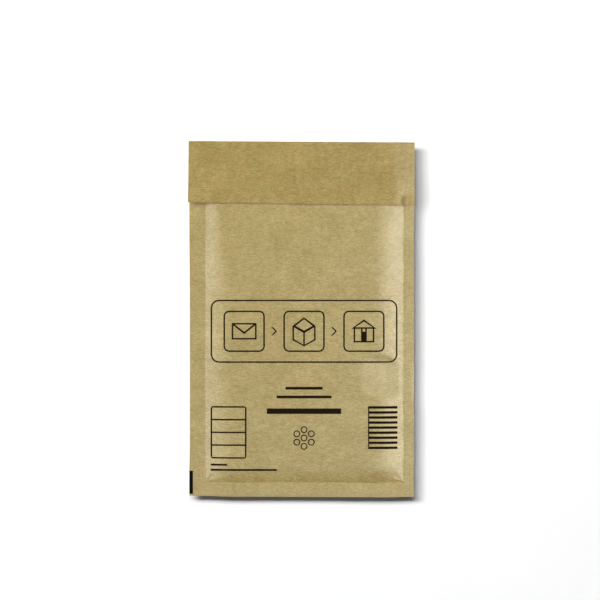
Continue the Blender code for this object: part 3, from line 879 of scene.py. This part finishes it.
def add_floor():
    bpy.ops.mesh.primitive_plane_add(size=FLOOR_SIZE, location=(0, 0, -UNDER_PAPER))
    floor = bpy.context.object
    floor.name = "floor"
    look = Look("floor")
    grain = look.noise(60.0, 60.0)
    colour = look.ramp(grain, (0.3, (0.88, 0.88, 0.88, 1.0)), (0.7, (0.90, 0.90, 0.90, 1.0)))
    look.set(Base_Color=colour, Roughness=0.9, Specular_IOR_Level=0.1)
    look.set(Emission_Color=(1.0, 1.0, 1.0, 1.0))
    glow = look.math("MULTIPLY", seen_directly(look.tree), FLOOR_GLOW)
    look.set(Emission_Strength=glow)
    floor.data.materials.append(look.material)
    return floor


def add_lamp(name, place, aim, width, depth, power):
    data = bpy.data.lights.new(name, "AREA")
    data.shape = "RECTANGLE"
    data.size = width
    data.size_y = depth
    data.energy = power
    lamp = bpy.data.objects.new(name, data)
    lamp.location = place
    lamp.rotation_euler = (Vector(aim) - Vector(place)).to_track_quat("-Z", "Y").to_euler()
    bpy.context.scene.collection.objects.link(lamp)
    return lamp


def light_only(lamp, floor, on_floor):
    """The lamp lights the floor alone, or everything but the floor."""
    lit = bpy.data.collections.new(lamp.name + "_lights")
    lit.objects.link(floor)
    lamp.light_linking.receiver_collection = lit
    if not on_floor:
        lit.collection_objects[0].light_linking.link_state = "EXCLUDE"


def light_scene(floor):
    world = bpy.data.worlds.new("studio")
    bpy.context.scene.world = world
    world.use_nodes = True
    background = world.node_tree.nodes["Background"]
    background.inputs["Color"].default_value = (1.0, 1.0, 1.0, 1.0)
    strength = world.node_tree.nodes.new("ShaderNodeMapRange")
    strength.inputs["To Min"].default_value = WORLD_LIGHT
    strength.inputs["To Max"].default_value = 1.0
    links = world.node_tree.links
    links.new(seen_directly(world.node_tree), strength.inputs["Value"])
    links.new(strength.outputs["Result"], background.inputs["Strength"])

    for number, (across, along, width, depth, share) in enumerate(FLOOR_LAMPS):
        under = (across * FLOOR_LAMP_HEIGHT, along * FLOOR_LAMP_HEIGHT, 0.0)
        place = (under[0], under[1], FLOOR_LAMP_HEIGHT)
        # A level lamp gives a white floor power / pi^2 / height^2 * cos^4 of its own brightness
        slant = (1 + across ** 2 + along ** 2) ** 2
        power = share * slant * (math.pi * FLOOR_LAMP_HEIGHT) ** 2
        sides = (width * FLOOR_LAMP_HEIGHT, depth * FLOOR_LAMP_HEIGHT)
        lamp = add_lamp("floor_lamp_%d" % number, place, under, *sides, power)
        light_only(lamp, floor, True)

    lamps = {}
    for name, place, width, depth, power in PAPER_LAMPS:
        lamps[name] = add_lamp(name, place, (0.0, 0.0, 0.0), width, depth, power)
        light_only(lamps[name], floor, False)
    lamps["top"].visible_glossy = False
    lamps["right_panel"].visible_diffuse = False
    lamps["left_panel"].visible_diffuse = False
    lamps["left_panel"].data.color = LEFT_SHEEN


def add_camera():
    data = bpy.data.cameras.new("camera")
    data.lens = 100.0
    data.sensor_width = 36.0
    data.clip_start = 0.01
    camera = bpy.data.objects.new("camera", data)
    camera.location = (CAMERA_X, CAMERA_Y, CAMERA_HEIGHT)
    bpy.context.scene.collection.objects.link(camera)
    bpy.context.scene.camera = camera
    bpy.context.scene.view_settings.view_transform = "Standard"


def main():
    add_camera()
    paper = Paper()
    paper.build()
    tree = paper.front_tree()
    bmesh.ops.recalc_face_normals(paper.mesh, faces=paper.mesh.faces)
    front_look = kraft_paper("kraft_paper_front", tone=(1.0, 1.0, 1.0), sheen=0.40)
    back_look = kraft_paper("kraft_paper_back", tone=(1.0, 0.98, 1.015), sheen=0.16)
    sheet = add_piece("paper_sheet", paper.mesh, front_look, "paper_envelope")
    sheet.data.materials.append(back_look)
    sheet.data.shade_smooth()
    sheet.data.set_sharp_from_angle(angle=math.radians(40))

    brown = ink("brown_ink", dark=(0.010, 0.005, 0.001, 1.0), light=(0.055, 0.036, 0.010, 1.0))
    black = ink("black_ink", dark=(0.002, 0.002, 0.002, 1.0), light=(0.010, 0.010, 0.009, 1.0))
    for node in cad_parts:
        if node.startswith("ink_"):
            lay_ink(node, tree, brown)
    lay_ink("feed_mark", tree, black)

    film = bubble_film()
    add_film("front_film", "front_bubble_film", 1, front_inside, film)
    add_film("back_film", "back_bubble_film", -1, back_inside, film)
    ribbon(
        "seal_strip", "adhesive_strip", adhesive(),
        to_side=4.0, width=12.0, to_edge=2.4, below=0.02, thickness=0.12,
    )
    ribbon(
        "strip_liner", "release_liner", release_paper(),
        to_side=1.5, width=15.0, to_edge=0.9, below=0.16, thickness=0.08,
    )

    light_scene(add_floor())


main()
